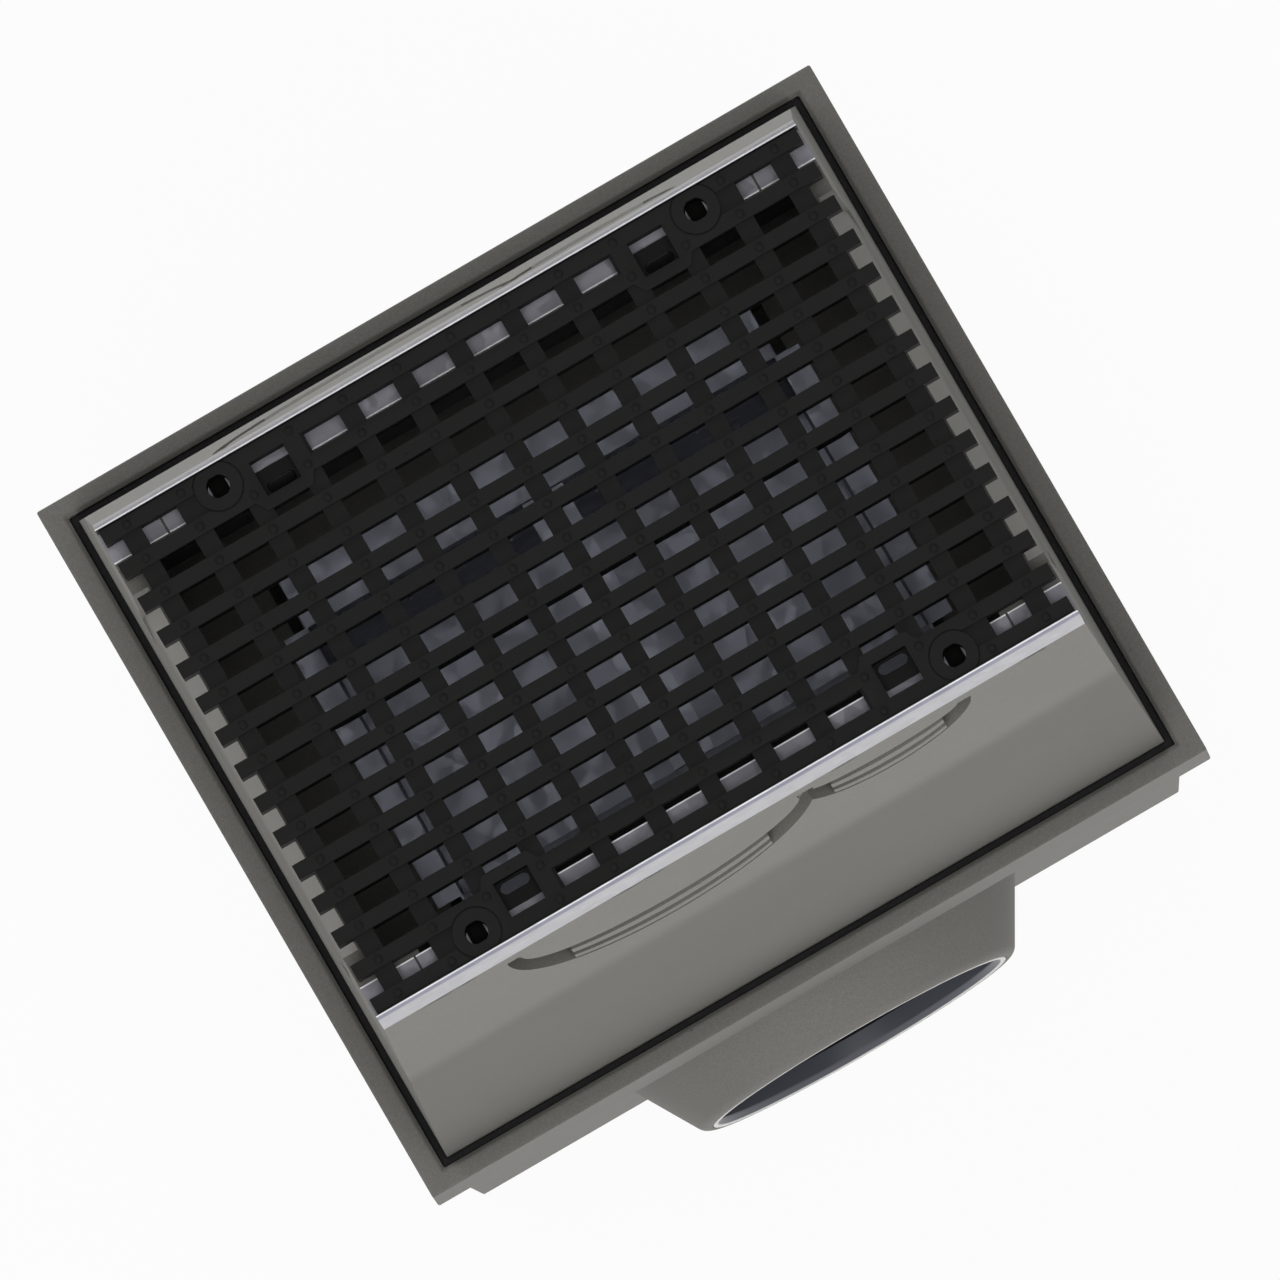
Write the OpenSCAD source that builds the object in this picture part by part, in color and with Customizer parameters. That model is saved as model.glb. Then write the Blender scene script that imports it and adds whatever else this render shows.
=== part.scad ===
// Two part catch basin for a drainage channel, with a grate and a silt bucket.
// Millimetres. The origin is the centre of the underside, +Z is up, X runs along
// the channel line and the outlet points to -Y.

/* [Overall] */
// Height from the underside to the walking face of the grate
overall_h = 950; // [880:5:1100]
// Length of the top along the channel line
top_l = 500; // [490:1:510]
// Clear width between the long walls under the grate
clear_w = 295; // [285:1:305]

/* [Lower part] */
// Height of the collar rim above the underside
rim_h = 456; // [440:1:520]
// Thickness of the side walls
lower_wall = 20; // [16:1:24]
// Thickness of the floor
floor_t = 22; // [16:1:40]
// Draft of the side walls in degrees
draft_deg = 1.6; // [0.5:0.1:2.5]
// Outside height of the collar
collar_h = 76; // [70:1:100]
// Depth of the socket inside the collar
socket_depth = 56; // [48:1:60]
// Width of the collar rim at the end walls
collar_wall_x = 15.5; // [12:0.5:20]
// Width of the collar rim at the long walls
collar_wall_y = 13; // [11:0.5:18]
// Bevel at the inner edge of the collar rim
collar_bevel = 2.5; // [1:0.25:4]

/* [Upper part] */
// Length of the foot that stands in the collar
foot_l = 518; // [510:1:530]
// Width of the foot that stands in the collar
foot_w = 461; // [450:1:475]
// Thickness of the walls
upper_wall = 20; // [16:1:24]
// Thickness of the end walls at their top
end_wall = 23; // [20:0.5:25]
// Drop of the bend in the long walls below the walking face
bend_drop = 190; // [180:1:240]
// Radius of the large pipe knock-out
knock_big_r = 109; // [100:1:115]
// Radius of the small pipe knock-out
knock_small_r = 62; // [50:1:70]
// Depth of the knock-out grooves
knock_depth = 8.5; // [5:0.5:12]
// Slope of the long walls above the bend in degrees
slope_deg = 7.8; // [5:0.1:9]
// Rise of the bucket ledge above the collar rim
ledge_rise = 40; // [36:1:60]
// Thickness of the bucket ledge at its inner edge
ledge_t = 22; // [16:1:28]

/* [Joint seal] */
// Width of the gap between foot and collar
joint_gap = 5; // [4:0.5:7]
// Thickness of the pad under the foot
pad_t = 4; // [3:0.5:6]
// Drop of the seal's top below the collar rim
seal_drop = 10; // [6:1:20]

/* [Outlet] */
// Bore of the outlet socket
bore_d = 200; // [190:1:205]
// Drop of the outlet axis below the collar rim
outlet_drop = 220; // [210:1:240]
// Outside diameter of the outlet hub at its end
hub_d = 225; // [222:1:235]
// Reach of the outlet hub out of the wall
hub_reach = 48.5; // [40:0.5:60]
// Half angle of the hub's cone in degrees
hub_deg = 30; // [20:1:35]
// Wall of the socket sleeve
sleeve_t = 4; // [3:0.25:5]
// Distance of the lip seal behind the outlet's mouth
lip_set = 15; // [12:1:20]
// Width of the lip seal
lip_w = 12; // [8:1:16]

/* [Edge rails] */
// Thickness of the rail sheet
rail_t = 4; // [3:0.25:5]
// Rounding of the rail's top edge
rail_round = 2.6; // [2:0.2:3.5]
// Height of the apron outside the walls
apron_h = 33; // [30:1:40]
// Width of one anchor lug
lug_w = 16; // [10:1:24]
// Length of the anchor lugs below the apron
lug_h = 4; // [3:0.5:10]

/* [Grate] */
// Width of the grate
grate_w = 345; // [340:1:350]
// Number of bars along the channel
bar_n = 15; // [15:2:17]
// Number of cross bars
cross_n = 13; // [13:2:15]
// Width of a bar at its top
bar_w = 10; // [8:0.5:11]
// Width of a cross bar
cross_w = 13.3; // [10:0.1:15]
// Height of the grate where it rests
grate_t = 22; // [20:1:26]
// Drop of the cross bars below the walking face
cross_drop = 4; // [2:0.5:6]
// Height of the stiffer bar in the middle
mid_bar_h = 46; // [30:1:60]
// Diameter of the bolt bosses
boss_d = 30.4; // [26:0.2:32]
// Diameter of the bolt holes, before their flats
bolt_hole = 14.7; // [10:0.1:16]
// Rise of the pocket frames beyond the second bar
pocket_bulge = 8; // [5:0.5:10]

/* [Silt bucket] */
// Outside length of the bucket
bucket_l = 341; // [320:1:350]
// Outside width of the bucket
bucket_w = 197; // [180:1:200]
// Depth of the bucket below its rim
bucket_h = 326; // [200:1:340]
// Thickness of the bucket sheet
sheet_t = 2; // [1.5:0.25:3]
// Width of the flanges on the long sides
flange_w = 39.5; // [30:0.5:42]
// Width of the lips on the short sides
lip_out = 15.4; // [12:0.2:20]
// Width of the bucket's bearing on the ledge
bearing = 8; // [6:0.5:10]
// Width of the carrying strap
strap_w = 29; // [20:1:40]
// Length of the strap's legs down the walls
strap_leg = 40; // [20:1:60]

/* [Hidden] */
$fn = 96;

// Running clearance between pieces that are set into each other
fit = 0.25;
// Overshoot of a cut beyond the face that it opens
over = 1;
// Extent that is larger than the whole object
far = 2 * overall_h;

// Heights of the joint between the two parts
socket_z = rim_h - socket_depth;
foot_z = socket_z + pad_t;
ledge_z = rim_h + ledge_rise;
bend_z = overall_h - bend_drop;

// Half sizes of the foot, the socket and the collar
foot_x = foot_l / 2;
foot_y = foot_w / 2;
socket_x = foot_x + joint_gap;
socket_y = foot_y + joint_gap;
collar_x = socket_x + collar_wall_x;
collar_y = socket_y + collar_wall_y;

// Half sizes of the lower box under the collar, and how far its walls lean
neck_z = rim_h - collar_h;
neck_x = socket_x + 1;
neck_y = socket_y + 1;
function lean(z) = (neck_z - z) * tan(draft_deg);

// Rail profile and the walls that carry it
seat_z = overall_h - grate_t;
seat_under = seat_z - rail_t;
curb_w = 4;
seat_in = clear_w / 2 + curb_w;
grate_gap = 0.6;
upstand_in = grate_w / 2 + grate_gap;
upstand_flat = 0.6;
upstand_top = upstand_in + upstand_flat;
function face_y(z) = upstand_top + rail_round + (overall_h - rail_round - z) * tan(slope_deg);
apron_z = overall_h - apron_h;
apron_t = rail_t / cos(slope_deg);
bend_y = face_y(bend_z);
bend_half = 18;

// End walls: half lengths outside and inside, and the recess for the channel
top_x = top_l / 2;
function end_x(z) = foot_x + (top_x - foot_x) * (z - rim_h) / (seat_under - rim_h);
inner_top_x = top_x - end_wall;
inner_ledge_x = end_x(ledge_z) - upper_wall - 1.5;
recess_z = overall_h - 228;
recess_shoulder_z = recess_z + 27;
recess_floor_top = inner_top_x + 10;
recess_half = 130;
recess_bottom_half = 113;

// Long walls inside: straight under the grate, then flared to the foot
clear_y = clear_w / 2;
flare_z = bend_z;
flare_end_z = bend_z - 180;
function lower_face_y(z) = foot_y + (bend_y - foot_y) * (z - rim_h) / (bend_z - rim_h);

// Rounded bend of the long walls, as points of a parabola between its two tangents
bend_low = [lower_face_y(bend_z - bend_half), bend_z - bend_half];
bend_high = [face_y(bend_z + bend_half), bend_z + bend_half];
bend_steps = 6;
function bend_point(t) = (1 - t) * (1 - t) * bend_low + 2 * t * (1 - t) * [bend_y, bend_z] + t * t * bend_high;
bend_points = [for (i = [0 : bend_steps]) bend_point(i / bend_steps)];

// Opening in the ledge for the bucket
bucket_x = bucket_l / 2;
bucket_y = bucket_w / 2;
flange_y = bucket_y + flange_w;
lip_x = bucket_x + lip_out;
open_x = lip_x - bearing;
open_y = flange_y - bearing;
bucket_rim_z = ledge_z + sheet_t;
bucket_floor_z = bucket_rim_z - bucket_h;

// Outlet
outlet_z = rim_h - outlet_drop;
bore_r = bore_d / 2;
wall_y = neck_y - lean(outlet_z);
mouth_y = wall_y + hub_reach;
hub_r = hub_d / 2;
hub_root_y = wall_y - lower_wall / 2;
sleeve_r = bore_r + sleeve_t;
sleeve_len = hub_reach + lower_wall + 4;
bead_r = sleeve_r + 4;
bead_from = lip_set - 3;
bead_to = lip_set + lip_w + 3;

// Grate pattern
grate_l = top_l - 3;
bar_pitch = (grate_w - bar_w) / (bar_n - 1);
bar_over = 10.85;
cross_pitch = (grate_l - 2 * bar_over - cross_w) / (cross_n - 1);
bar_y0 = (grate_w - bar_w) / 2;
mid_bar_l = 2 * (inner_top_x - 20);
boss_x = 4.5 * cross_pitch - 3;
boss_y = grate_w / 2 - 12.9;
boss_sink = 1.2;
boss_groove = 0.9;
pocket_x = 3.5 * cross_pitch;
pocket_half = (cross_pitch - cross_w) / 2 - 0.6;
pocket_out = bar_y0 - bar_w / 2;
pocket_in = bar_y0 - bar_pitch - bar_w / 2 + 0.3;
pocket_floor_t = 5;
rail_hole = 11.5;

// Knock-outs for side pipes in the long walls: a grooved band of nested half rings
knock_big_x = -55;
knock_small_x = 104.5;
knock_top_z = overall_h - 47;
knock_band = 43;
knock_side = 0.22;
// Two ribs stand in each band: low and high edge as shares of the band's height
knock_ribs = [[0.08, 0.27], [0.5, 0.75]];
// Share of the knock-out's radius over which the ribs reach
knock_rib_reach = 0.645;

// Anchor lugs along one rail
lug_places = [-213, -194, -78, -59, 78, 213];

// A profile of (y, z) points extruded along X
module along_x(points, length) {
    rotate([90, 0, 90])
        linear_extrude(height = length, center = true)
            polygon(points);
}

// A profile of (x, z) points extruded along Y
module along_y(points, length) {
    rotate([90, 0, 0])
        linear_extrude(height = length, center = true)
            polygon(points);
}

// Points of a half outline, mirrored to the other side
function both(half) = concat(
    half,
    [for (i = [len(half) - 1 : -1 : 0]) [-half[i][0], half[i][1]]]
);

// A box from its lowest to its highest corner
module block(low, high) {
    translate(low)
        cube(high - low);
}

// A box that is centred in X and Y
module centred(half_x, half_y, low, high) {
    block([-half_x, -half_y, low], [half_x, half_y, high]);
}

// Body whose four walls lean: half lengths (x, z) and half widths (y, z)
module leaning(half_x_points, half_y_points) {
    intersection() {
        along_y(both(half_x_points), far);
        along_x(both(half_y_points), far);
    }
}

// Turned form round the outlet axis, from (distance behind the mouth, radius) points
module about_outlet(points) {
    translate([0, -mouth_y, outlet_z])
        rotate([-90, 0, 0])
            rotate_extrude()
                polygon([for (p = points) [p[1], p[0]]]);
}

// Outline of the outlet hub with a rounded edge at its mouth
hub_edge = 9;
hub_root = mouth_y - hub_root_y;
hub_turn = 90 - hub_deg;
function hub_arc(a) = [
    hub_edge - hub_edge * cos(a),
    hub_r - hub_edge * tan(hub_turn / 2) + hub_edge * sin(a)
];
function hub_outline() = concat(
    [[0, 0]],
    [for (i = [0 : 6]) hub_arc(i * hub_turn / 6)],
    [[hub_root, hub_arc(hub_turn)[1] + (hub_root - hub_arc(hub_turn)[0]) * tan(hub_deg)], [hub_root, 0]]
);

module lower_basin() {
    color([0.46, 0.45, 0.43])
        difference() {
            union() {
                leaning(
                    [[neck_x - lean(0), 0], [neck_x, neck_z], [neck_x, socket_z]],
                    [[neck_y - lean(0), 0], [neck_y, neck_z], [neck_y, socket_z]]
                );
                centred(collar_x, collar_y, neck_z, rim_h);
                about_outlet(hub_outline());
            }
            leaning(
                [[neck_x - lean(floor_t) - lower_wall, floor_t], [neck_x - lower_wall, socket_z + over]],
                [[neck_y - lean(floor_t) - lower_wall, floor_t], [neck_y - lower_wall, socket_z + over]]
            );
            centred(socket_x, socket_y, socket_z, rim_h + over);
            leaning(
                [[socket_x, rim_h - collar_bevel], [socket_x + collar_bevel + over, rim_h + over]],
                [[socket_y, rim_h - collar_bevel], [socket_y + collar_bevel + over, rim_h + over]]
            );
            about_outlet([
                [-over, 0],
                [-over, sleeve_r + 2 + fit],
                [2 + fit, sleeve_r + 2 + fit],
                [2 + fit, sleeve_r + fit],
                [bead_from - fit, sleeve_r + fit],
                [bead_from - fit, bead_r + fit],
                [bead_to + fit, bead_r + fit],
                [bead_to + fit, sleeve_r + fit],
                [sleeve_len + 60, sleeve_r + fit],
                [sleeve_len + 60, 0]
            ]);
        }
}

module joint_seal() {
    pad_in_x = neck_x - lower_wall;
    pad_in_y = neck_y - lower_wall;
    color([0.03, 0.03, 0.03])
        difference() {
            centred(socket_x - fit, socket_y - fit, socket_z, rim_h - seal_drop);
            centred(foot_x + fit, foot_y + fit, foot_z, rim_h);
            centred(pad_in_x, pad_in_y, socket_z - over, rim_h);
        }
}

module outlet_socket() {
    color([0.62, 0.62, 0.6])
        about_outlet([
            [0, bore_r + 3],
            [0, sleeve_r + 2],
            [2, sleeve_r + 2],
            [2, sleeve_r],
            [bead_from, sleeve_r],
            [bead_from, bead_r],
            [bead_to, bead_r],
            [bead_to, sleeve_r],
            [sleeve_len, sleeve_r],
            [sleeve_len, bore_r],
            [lip_set + lip_w, bore_r],
            [lip_set + lip_w, bead_r - 2],
            [lip_set, bead_r - 2],
            [lip_set, bore_r],
            [4, bore_r]
        ]);
}

module outlet_seal() {
    color([0.03, 0.03, 0.03])
        about_outlet([
            [lip_set + fit, bore_r + 0.4],
            [lip_set + fit, bead_r - 2 - fit],
            [lip_set + lip_w - fit, bead_r - 2 - fit],
            [lip_set + lip_w - fit, bore_r + 0.8],
            [lip_set + lip_w / 2, bore_r + 2]
        ]);
}

// Lower half of a ring edge in (x, z), a share of the band's height above the lowest edge
module knock_edge(radius, share) {
    rise = share * knock_band;
    wide = radius - knock_side * rise;
    tall = radius - rise;
    polygon([for (i = [0 : 36]) [wide * cos(180 + 5 * i), tall * sin(180 + 5 * i)]]);
}

// Area between two ring edges
module knock_ring(radius, low, high) {
    difference() {
        knock_edge(radius, low);
        knock_edge(radius, high);
    }
}

// Grooved band of one knock-out, without its ribs
module knock_grooves(radius) {
    reach = knock_rib_reach * radius;
    difference() {
        knock_ring(radius, 0, 1);
        for (rib = knock_ribs)
            intersection() {
                knock_ring(radius, rib[0], rib[1]);
                translate([-reach, -2 * radius])
                    square([2 * reach, 2 * radius]);
            }
    }
}

// Skin of the front wall, as deep as the grooves
module front_skin() {
    along_x([
        [-face_y(overall_h), overall_h],
        [-bend_y, bend_z],
        [-bend_y + knock_depth, bend_z],
        [-face_y(overall_h) + knock_depth, overall_h]
    ], far);
}

module front_knock_outs() {
    intersection() {
        front_skin();
        rotate([90, 0, 0])
            linear_extrude(height = far, center = true)
                union() {
                    translate([knock_big_x, knock_top_z])
                        knock_grooves(knock_big_r);
                    translate([knock_small_x, knock_top_z])
                        knock_grooves(knock_small_r);
                }
    }
}

// Recess in one end wall, where the channel butts against it
module end_recess() {
    floor_low = end_x(recess_z);
    intersection() {
        along_y([
            [floor_low, recess_z],
            [recess_floor_top, overall_h],
            [foot_x + 50, overall_h],
            [foot_x + 50, recess_z]
        ], far);
        along_x(both([
            [recess_bottom_half, recess_z],
            [recess_half, recess_shoulder_z],
            [recess_half, overall_h]
        ]), far);
    }
}

module upper_basin() {
    lower_in_y = foot_y - upper_wall;
    lower_in_x = foot_x - upper_wall;
    haunch_z = rim_h - 4;
    color([0.52, 0.51, 0.49])
        difference() {
            leaning(
                [[foot_x, foot_z], [foot_x, rim_h], [top_x, seat_under], [top_x, overall_h]],
                concat(
                    [[foot_y, foot_z], [foot_y, rim_h]],
                    bend_points,
                    [
                        [face_y(apron_z), apron_z],
                        [face_y(apron_z) - apron_t - fit, apron_z],
                        [face_y(seat_under) - apron_t - fit, seat_under],
                        [seat_in - fit, seat_under],
                        [seat_in - fit, seat_z - 0.5]
                    ]
                )
            );
            centred(far, clear_y, seat_under - 2, overall_h);
            leaning(
                [[inner_ledge_x, ledge_z], [inner_top_x, seat_z + over]],
                [
                    [lower_face_y(ledge_z) - upper_wall, ledge_z],
                    [lower_face_y(flare_end_z) - upper_wall, flare_end_z],
                    [clear_y, flare_z],
                    [clear_y, seat_z + over]
                ]
            );
            leaning(
                [
                    [lower_in_x, foot_z - over],
                    [lower_in_x, haunch_z],
                    [open_x, ledge_z - ledge_t]
                ],
                [
                    [lower_in_y, foot_z - over],
                    [lower_in_y, haunch_z],
                    [open_y, ledge_z - ledge_t]
                ]
            );
            centred(open_x, open_y, haunch_z, ledge_z + over);
            end_recess();
            mirror([1, 0, 0])
                end_recess();
            front_knock_outs();
            mirror([0, 1, 0])
                front_knock_outs();
            lug_pockets();
            mirror([0, 1, 0])
                lug_pockets();
        }
}

// Room in the front wall for the rail's anchor lugs
module lug_pockets() {
    for (x = lug_places)
        lug(x, fit);
}

// One anchor lug of the front rail, with extra room round it
module lug(x, extra) {
    low = apron_z - lug_h - extra;
    translate([x, 0, 0])
        along_x([
            [-face_y(apron_z + over), apron_z + over],
            [-face_y(low), low],
            [-face_y(low) + apron_t + extra, low],
            [-face_y(apron_z + over) + apron_t + extra, apron_z + over]
        ], lug_w + 2 * extra);
}

module front_rail() {
    color([0.66, 0.67, 0.7])
        difference() {
            union() {
                intersection() {
                    translate([0, -upstand_top, overall_h - rail_round])
                        rotate([0, 90, 0])
                            cylinder(r = rail_round, h = top_l, center = true);
                    block(
                        [-top_x, -upstand_top - rail_round, overall_h - rail_round],
                        [top_x, -upstand_top, overall_h]
                    );
                }
                along_x([
                    [-seat_in, seat_z],
                    [-upstand_in, seat_z],
                    [-upstand_in, overall_h],
                    [-upstand_top, overall_h],
                    [-upstand_top, overall_h - rail_round],
                    [-face_y(overall_h - rail_round), overall_h - rail_round],
                    [-face_y(apron_z), apron_z],
                    [-face_y(apron_z) + apron_t, apron_z],
                    [-face_y(seat_under) + apron_t, seat_under],
                    [-seat_in, seat_under]
                ], top_l);
                for (x = lug_places)
                    lug(x, 0);
            }
            for (side = [-1, 1]) {
                translate([side * boss_x, -boss_y, seat_z])
                    cube([rail_hole, rail_hole + 3, 4 * rail_t], center = true);
                translate([side * (top_x - 39), -seat_in - 8, seat_z])
                    cube([1.5, 18, 4 * rail_t], center = true);
            }
        }
}

module back_rail() {
    mirror([0, 1, 0])
        front_rail();
}

// Frame of one lifting pocket, in plan
module pocket_frame() {
    bulge_y = pocket_in - pocket_bulge;
    polygon([
        [pocket_x - pocket_half - 12, pocket_in + 5],
        [pocket_x - pocket_half - 4, bulge_y],
        [pocket_x + pocket_half + 4, bulge_y],
        [pocket_x + pocket_half + 12, pocket_in + 5],
        [pocket_x + pocket_half + 12, pocket_out],
        [pocket_x - pocket_half - 12, pocket_out]
    ]);
}

module grate() {
    color([0.05, 0.05, 0.05])
        difference() {
            union() {
                for (i = [0 : bar_n - 1])
                    translate([0, bar_y0 - i * bar_pitch, 0])
                        centred(grate_l / 2, bar_w / 2, seat_z, overall_h);
                for (i = [0 : cross_n - 1])
                    translate([(i - (cross_n - 1) / 2) * cross_pitch, 0, 0])
                        centred(cross_w / 2, bar_y0, seat_z, overall_h - cross_drop);
                for (sx = [-1, 1], sy = [-1, 1])
                    scale([sx, sy, 1])
                        corner_fill();
                middle_web();
            }
            for (sx = [-1, 1], sy = [-1, 1])
                scale([sx, sy, 1])
                    corner_holes();
        }
}

// Deep web under the bar in the middle, with sloped ends
module middle_web() {
    along_y([
        [-mid_bar_l / 2, overall_h - grate_t + 1],
        [-mid_bar_l / 2 + 30, overall_h - mid_bar_h],
        [mid_bar_l / 2 - 30, overall_h - mid_bar_h],
        [mid_bar_l / 2, overall_h - grate_t + 1]
    ], bar_w - 2);
}

// Solid field between the first two bars, with the bolt boss and the pocket frame
module corner_fill() {
    field_in = bar_y0 - bar_pitch;
    block(
        [3 * cross_pitch, field_in, seat_z],
        [5 * cross_pitch, bar_y0, overall_h - cross_drop]
    );
    intersection() {
        translate([boss_x, boss_y, seat_z])
            cylinder(d = boss_d, h = grate_t - 0.5);
        centred(grate_l / 2, grate_w / 2, seat_z, overall_h);
    }
    translate([0, 0, seat_z])
        linear_extrude(height = grate_t)
            pocket_frame();
}

// Bolt hole with two flats, the sunk face round it and the lifting pocket of one corner
module corner_holes() {
    translate([boss_x, boss_y, overall_h - grate_t / 2])
        intersection() {
            cylinder(d = bolt_hole, h = 2 * grate_t, center = true);
            cube([2 * bolt_hole, bolt_hole - 1.2, 2 * grate_t], center = true);
        }
    translate([boss_x, boss_y, overall_h - boss_sink])
        cylinder(d = boss_d, h = boss_sink + over);
    translate([boss_x, boss_y, overall_h - 2 * boss_sink])
        difference() {
            cylinder(d = boss_d + 2 * boss_groove, h = 2 * boss_sink + over);
            cylinder(d = boss_d, h = 5 * boss_sink, center = true);
        }
    block(
        [pocket_x - pocket_half, pocket_in, seat_z + pocket_floor_t],
        [pocket_x + pocket_half, pocket_out, overall_h + over]
    );
    block(
        [pocket_x - pocket_half, pocket_out - 6, seat_z - over],
        [pocket_x + pocket_half, pocket_out, overall_h + over]
    );
    translate([pocket_x, pocket_in + 5, seat_z - over])
        linear_extrude(height = grate_t)
            for (side = [-1, 1])
                half_slot(side);
}

// Half of the obround slot in a pocket's floor
module half_slot(side) {
    slot_r = 3.8;
    slot_half = 10;
    translate([side * (slot_half - slot_r), 0])
        circle(r = slot_r);
    square([2 * (slot_half - slot_r), 2 * slot_r], center = true);
}

module silt_bucket() {
    color([0.55, 0.56, 0.6])
        difference() {
            union() {
                centred(bucket_x, bucket_y, bucket_floor_z, bucket_rim_z);
                centred(bucket_x, flange_y, ledge_z, bucket_rim_z);
                centred(lip_x, bucket_y - 1.5, ledge_z, bucket_rim_z);
            }
            centred(bucket_x - sheet_t, bucket_y - sheet_t, bucket_floor_z + sheet_t, bucket_rim_z + over);
            for (x = [-104, -31, 31, 104])
                translate([x, 0, 0])
                    centred(1.5, flange_y + over, bucket_rim_z - 190, bucket_rim_z - 90);
            for (i = [-9 : 9])
                if (abs(i) > 0)
                    translate([i * 16.5, 0, bucket_rim_z - 50])
                        rotate([0, 35, 0])
                            cube([4, 2 * flange_y + 2, 36], center = true);
        }
}

module bucket_strap() {
    out_y = bucket_y - sheet_t - fit;
    top_z = bucket_rim_z - 2;
    strap_t = 3;
    color([0.6, 0.61, 0.65])
        difference() {
            centred(strap_w / 2, out_y, top_z - strap_leg, top_z);
            centred(strap_w, out_y - strap_t, top_z - strap_leg - over, top_z - strap_t);
        }
}

lower_basin();
joint_seal();
outlet_socket();
outlet_seal();
upper_basin();
front_rail();
back_rail();
grate();
silt_bucket();
bucket_strap();
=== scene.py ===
"""Looks of a two part catch basin: cast concrete, iron grate, galvanised rails and bucket."""

import math

import bmesh
import bpy
from mathutils import Matrix, Vector


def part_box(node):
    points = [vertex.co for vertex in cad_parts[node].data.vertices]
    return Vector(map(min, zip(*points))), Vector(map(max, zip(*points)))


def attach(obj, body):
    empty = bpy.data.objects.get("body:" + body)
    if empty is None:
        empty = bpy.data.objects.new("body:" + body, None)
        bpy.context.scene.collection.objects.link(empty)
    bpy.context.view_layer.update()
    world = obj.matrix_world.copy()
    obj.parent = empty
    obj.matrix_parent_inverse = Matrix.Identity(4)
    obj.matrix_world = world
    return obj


bl_info = {
    "name": "Catch basin looks",
    "version": (1, 0, 0),
    "blender": (4, 5, 0),
    "location": "View3D > Sidebar > Basin",
    "description": "Dresses a packed catch basin in concrete, iron, steel, rubber and plastic",
    "category": "Object",
}

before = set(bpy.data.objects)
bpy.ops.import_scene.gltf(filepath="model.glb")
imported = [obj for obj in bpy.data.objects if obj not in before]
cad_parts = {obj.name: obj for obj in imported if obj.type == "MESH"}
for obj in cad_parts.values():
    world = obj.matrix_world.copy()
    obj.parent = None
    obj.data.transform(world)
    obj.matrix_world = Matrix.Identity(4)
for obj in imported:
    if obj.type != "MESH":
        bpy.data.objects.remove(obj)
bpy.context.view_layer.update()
ROOT = "root"
MM = 0.001

# Concrete: its gloss, how strongly the grain shows, and the darker colour of a pore, which is
# painted shade
CONCRETE_GLOSS = 0.3
GRAIN_STRENGTH = 0.8
PAINTED_PORE_SHADE = 0.6
PORE_CONTRAST = 12.0
PORE_CELLS_LEFT_OUT = 0.55

# The upper concrete's share of its colour under and over the bend (painted shade under it, painted
# light over it), on its end walls (painted light) and on top (painted shade), and the share of its
# gloss that the end walls keep
PAINTED_SHADE_UNDER_BEND = 0.74
PAINTED_LIGHT_OVER_BEND = 1.08
PAINTED_LIGHT_ON_ENDS = 1.05
PAINTED_SHADE_ON_CROWN = 0.62
END_GLOSS = 0.2
BEND_LOW = 738 * MM
BEND_HIGH = 778 * MM
# The part of a normal along the channel, and upward, at which those tones start and are full
END_FACING = (0.4, 0.8)
UP_FACING = (0.5, 0.9)
# The threaded holes under the bolt bosses, and the front curb that carries the rail's seat, which
# get painted shade
BOLT_X = 170.25 * MM
BOLT_Y = 159.6 * MM
BOLT_ROOM = 9 * MM
CURB_X = 207 * MM
CURB_Y = 152.5 * MM
CURB_LOW = 900 * MM
PAINTED_SHADE_TONE = 0.06

# A rail across its width, with painted highlights on the seat's inner edge and the upstand's edge,
# painted shade on the seat and on the back rail, and a painted shadow in the gap: the seat's edge
# counts from its inner side, the rest from the middle
SEAT_HIGHLIGHT_WIDTH = 0.9 * MM
UPSTAND_IN = 172.6 * MM
EDGE_HIGHLIGHT_START = 173.6 * MM
EDGE_HIGHLIGHT_END = 174.5 * MM
APRON_START = 176.4 * MM
RAIL_BLUR = 0.3 * MM
RAIL_HIGHLIGHT_TONE = (1.5, 1.5, 1.5)
RAIL_SEAT_SHADE_TONE = (0.42, 0.42, 0.45)
RAIL_GAP_SHADOW_TONE = (0.04, 0.04, 0.04)
RAIL_CROWN_TONE = (0.62, 0.61, 0.71)
RAIL_APRON_TONE = (1.0, 1.0, 1.0)
RAIL_BACK_SHADE_TONE = (0.6, 0.6, 0.6)

# Plain finishes of the metals, the rubber and the plastic
ZINC_METALLIC = 0.5
RAIL_ROUGHNESS = 0.6
BUCKET_ROUGHNESS = 0.45
ZINC_SPREAD = 0.14
IRON_GLOSS = 0.09
RUBBER_COLOUR = (0.012, 0.012, 0.012)
RUBBER_GLOSS = 0.25
PLASTIC_PALE = (0.58, 0.58, 0.56)
# The bore's dark colour is painted shade inside the socket
PLASTIC_BORE_SHADE = (0.07, 0.073, 0.09)
# Depth behind the socket's mouth at which its pale rim ends and its dark bore of painted shade
# starts
RIM_END = 0.5 * MM
BORE_START = 0.9 * MM

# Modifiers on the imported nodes
WELD_GAP = 0.002 * MM
SMOOTH_ANGLE = math.radians(32)
BEVEL_ANGLE = math.radians(30)
BEVEL_SEGMENTS = 2
SEAL_ROUND = 0.6 * MM
SOCKET_ROUND = 0.6 * MM
RAIL_ROUND = 0.5 * MM
GRATE_ROUND = 0.7 * MM
SHEET_ROUND = 0.4 * MM

# The grate's pattern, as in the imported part
BARS = 15
CROSS_BARS = 13
BAR_PITCH = 335 * MM / (BARS - 1)
CROSS_PITCH = 462 * MM / (CROSS_BARS - 1)
WALKING_FACE = 950 * MM
# An outer bar has no stud at this cross bar from the middle, between a boss and a pocket
BARE_CROSS = 4
# A stud's rings from its skirt up, as shares of its radius and its height
STUD_RINGS = ((1.0, -0.3), (0.98, 0.35), (0.72, 0.85))
STUD_SIDES = 16

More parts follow.
